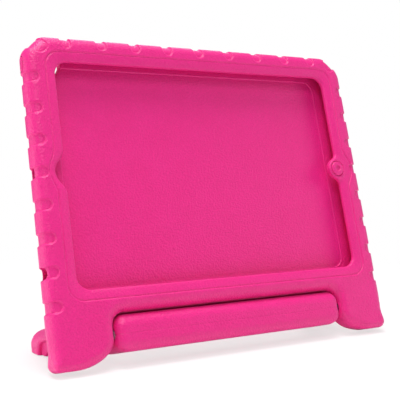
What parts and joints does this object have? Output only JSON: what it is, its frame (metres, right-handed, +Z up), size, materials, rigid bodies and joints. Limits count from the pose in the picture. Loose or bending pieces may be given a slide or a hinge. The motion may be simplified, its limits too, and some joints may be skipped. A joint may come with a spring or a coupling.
{
  "type": "tablet case",
  "caption": "Padded foam case for a tablet, with a scalloped rim, soft button covers and a loop handle that turns to become a stand.",
  "frame": {"origin": "bottom centre of the case's bounding box as it stands on its ears and its loop", "axes": "+X to the right along the hinge, -Y towards the viewer of the screen, +Z up"},
  "size_m": [0.2588, 0.0794, 0.2056],
  "materials": {
    "pink_foam": "moulded closed-cell foam, fine grain, satin",
    "stiff_plastic": "moulded black plastic",
    "bearing_plastic": "dark acetal, slightly waxy",
    "rod_steel": "plain bright steel"
  },
  "bodies": {
    "case": {"foam_shell": "pink_foam", "left_ear_socket": "stiff_plastic", "right_ear_socket": "stiff_plastic", "left_rod_clip": "rod_steel", "right_rod_clip": "rod_steel", "left_thrust_washer": "bearing_plastic", "right_thrust_washer": "bearing_plastic", "hinge_rod": "rod_steel"},
    "handle": {"handle_upper_foam": "pink_foam", "handle_lower_foam": "pink_foam", "handle_core": "stiff_plastic", "hinge_tube": "stiff_plastic", "left_bushing": "bearing_plastic", "right_bushing": "bearing_plastic", "left_spring_washer": "rod_steel", "right_spring_washer": "rod_steel"},
    "home_button": {"home_button_cover": "pink_foam"},
    "power_button": {"power_button_cover": "pink_foam"},
    "volume_up_button": {"volume_up_cover": "pink_foam"},
    "volume_down_button": {"volume_down_cover": "pink_foam"}
  },
  "joints": [
    {"name": "handle_turn", "type": "hinge", "parent": "case", "child": "handle", "pos_m": [0, -0.02789, 0.01961], "axis": [-1, 0, 0], "range_deg": [0, 90]},
    {"name": "home_press", "type": "slide", "parent": "case", "child": "home_button", "axis": [0, 0.9641, -0.2656], "range_m": [0, 0.0008], "stiffness_N_per_m": 1500},
    {"name": "power_press", "type": "slide", "parent": "case", "child": "power_button", "axis": [1, 0, 0], "range_m": [0, 0.0008], "stiffness_N_per_m": 1500},
    {"name": "volume_up_press", "type": "slide", "parent": "case", "child": "volume_up_button", "axis": [0, -0.2656, -0.9641], "range_m": [0, 0.0008], "stiffness_N_per_m": 1500},
    {"name": "volume_down_press", "type": "slide", "parent": "case", "child": "volume_down_button", "axis": [0, -0.2656, -0.9641], "range_m": [0, 0.0008], "stiffness_N_per_m": 1500}
  ]
}
